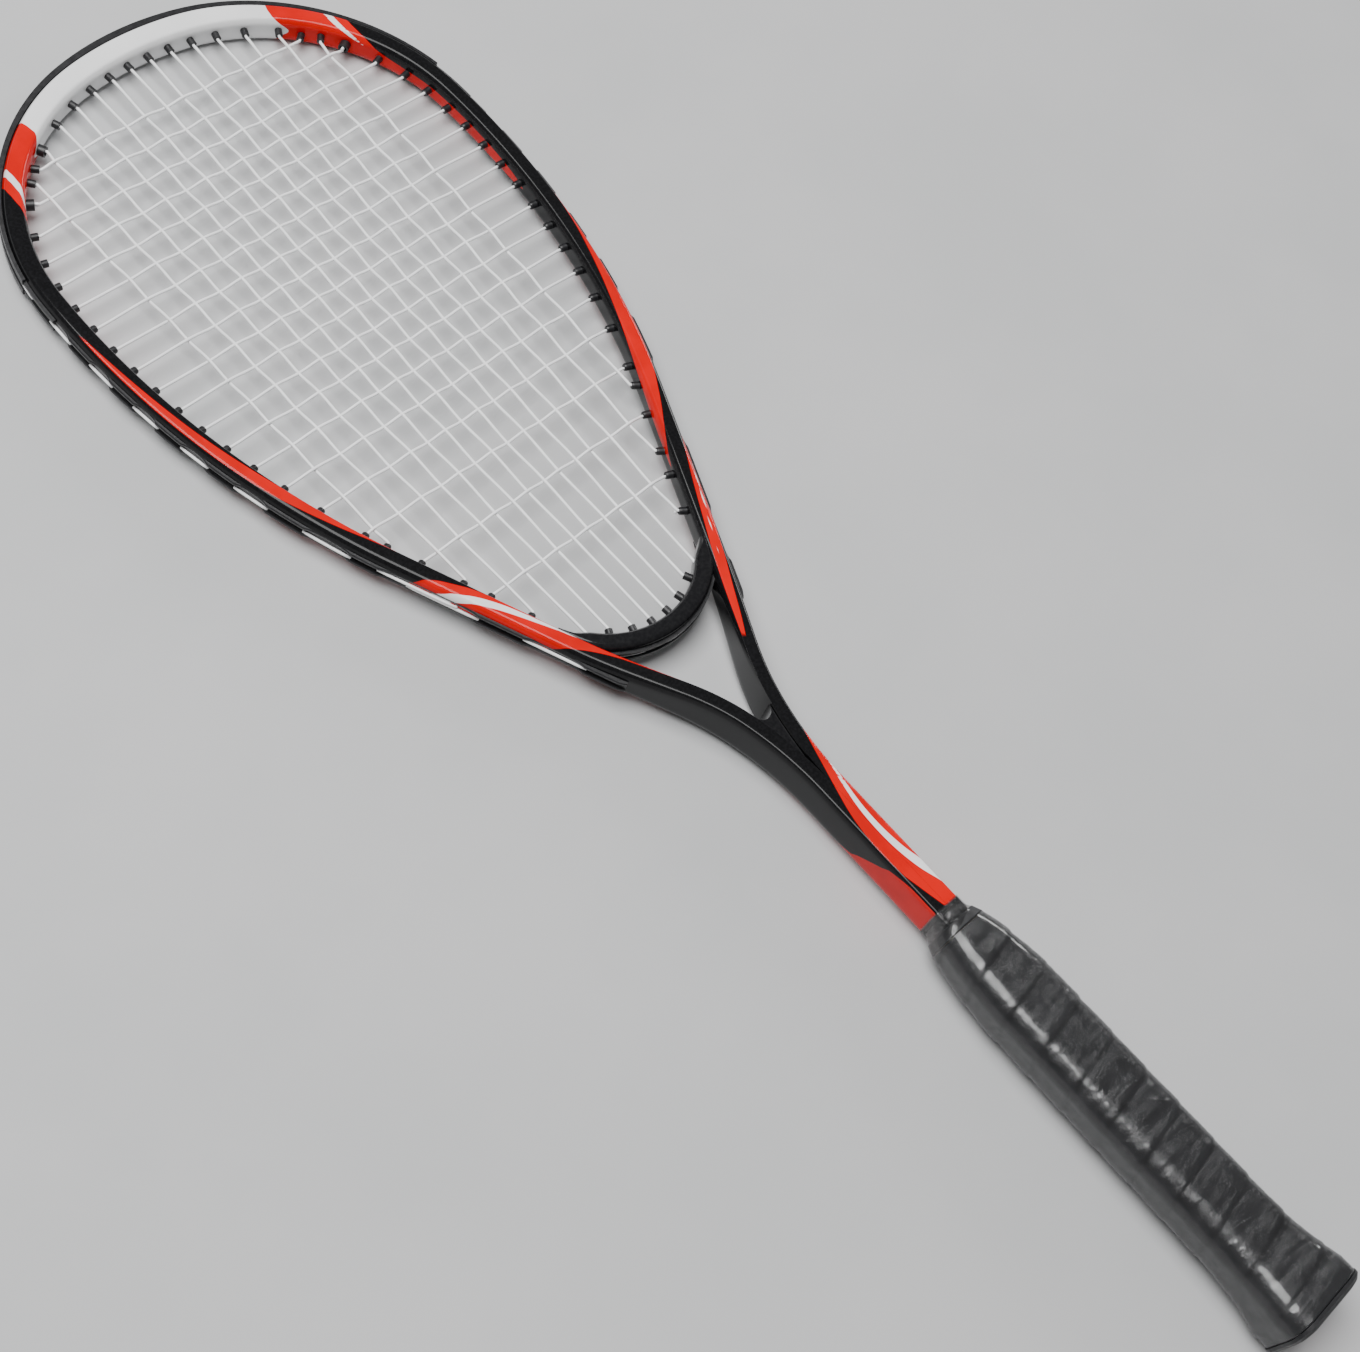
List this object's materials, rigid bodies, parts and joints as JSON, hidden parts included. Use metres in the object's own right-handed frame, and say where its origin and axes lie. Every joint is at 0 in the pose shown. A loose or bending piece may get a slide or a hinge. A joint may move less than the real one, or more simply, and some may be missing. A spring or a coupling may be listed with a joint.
{
  "type": "squash racket",
  "caption": "Squash racket with an open throat, a bridged head, woven string bed, protective bumper and a wrapped handle under clear film.",
  "frame": {"origin": "middle of the racket's length and width, at the height of its lowest point when it lies flat on its back", "axes": "+Y from the butt to the tip, +X across the string bed, +Z out of the front face of the string bed"},
  "size_m": [0.2124, 0.686, 0.0326],
  "materials": {
    "clear_coated_composite": "gloss clear coat over black and red paint",
    "nylon": "satin moulded nylon",
    "string": "satin multifilament",
    "film": "clear glossy film",
    "grip": "soft polyurethane band",
    "tape": "adhesive tape",
    "staple": "plain wire",
    "cap": "satin moulded",
    "badge": "gloss, blank",
    "foam": "rigid polyurethane foam"
  },
  "bodies": {
    "root": {"frame_tube": "clear_coated_composite", "throat_bridge": "clear_coated_composite", "throat_insert": "clear_coated_composite", "tip_bumper": "nylon", "grommet_strip_left": "nylon", "grommet_strip_right": "nylon", "grommet_strip_bridge": "nylon", "main_strings": "string", "cross_strings": "string", "main_string_turns": "string", "cross_string_turns": "string", "string_knots": "string", "grip_film": "film", "grip_band": "grip", "grip_underlay": "tape", "finishing_tape": "tape", "collar_tape": "film", "cap_staples": "staple", "butt_cap": "cap", "butt_badge": "badge", "pallet_left": "foam", "pallet_right": "foam", "leg_plugs": "foam"}
  },
  "joints": []
}
